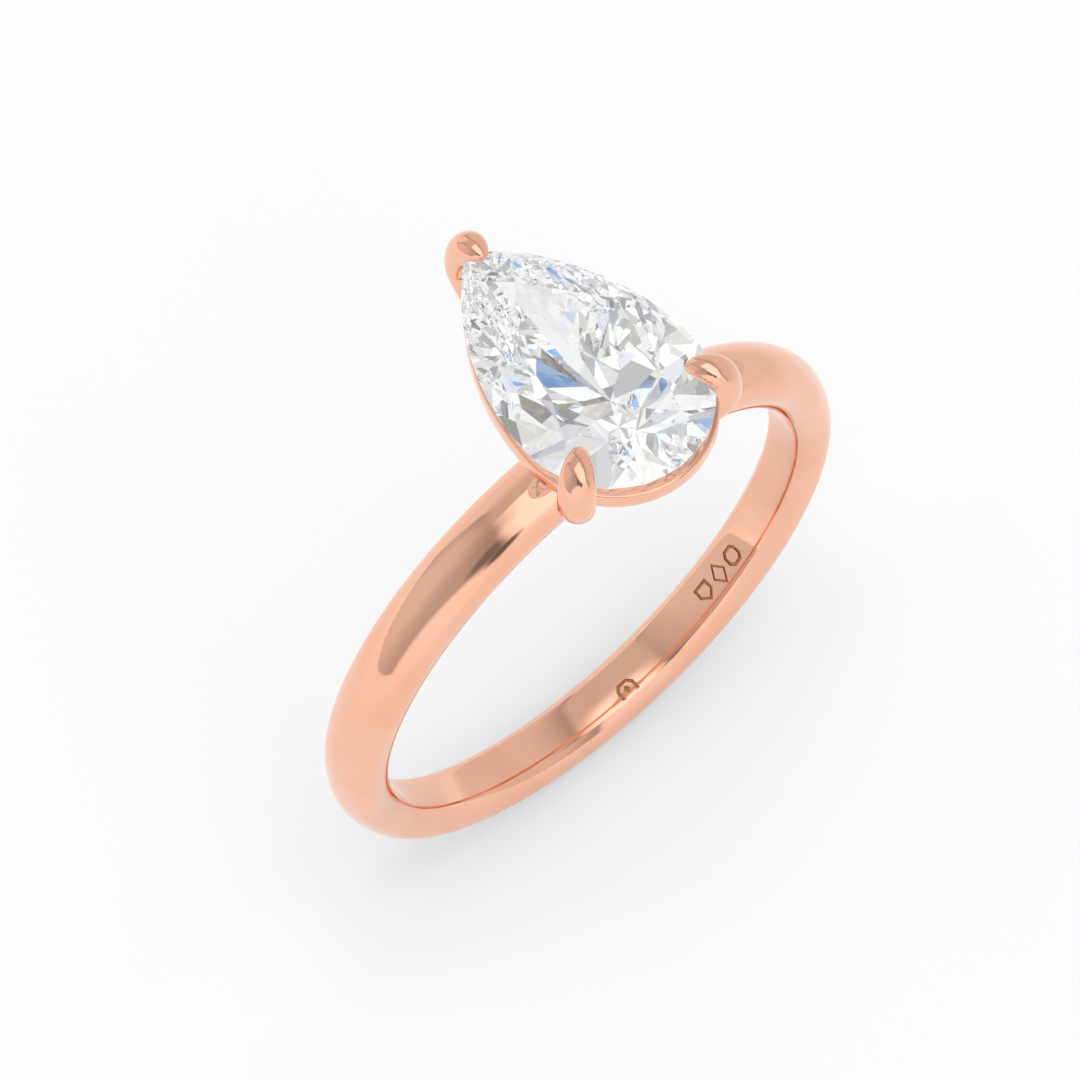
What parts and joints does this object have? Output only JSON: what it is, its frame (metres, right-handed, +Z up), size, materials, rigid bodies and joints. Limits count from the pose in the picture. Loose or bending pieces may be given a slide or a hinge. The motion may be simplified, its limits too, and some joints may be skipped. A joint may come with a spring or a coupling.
{
  "type": "engagement ring",
  "caption": "Polished rose gold solitaire ring: a court band, a basket head with claws and a pear-cut diamond.",
  "frame": {"origin": "centre of the finger hole, in the band's middle plane", "axes": "+Y along the finger's axis towards the pear's point, +Z up from the finger hole through the stone, +X to the right"},
  "size_m": [0.0198, 0.0099, 0.0247],
  "materials": {
    "rose_gold": "mirror-polished 18 carat rose gold",
    "diamond": "polished, colourless, faceted"
  },
  "bodies": {
    "root": {"shank": "rose_gold", "head_base": "rose_gold", "lower_rail": "rose_gold", "gallery_rail": "rose_gold", "claw_tip": "rose_gold", "claw_left": "rose_gold", "claw_right": "rose_gold", "diamond": "diamond"}
  },
  "joints": []
}
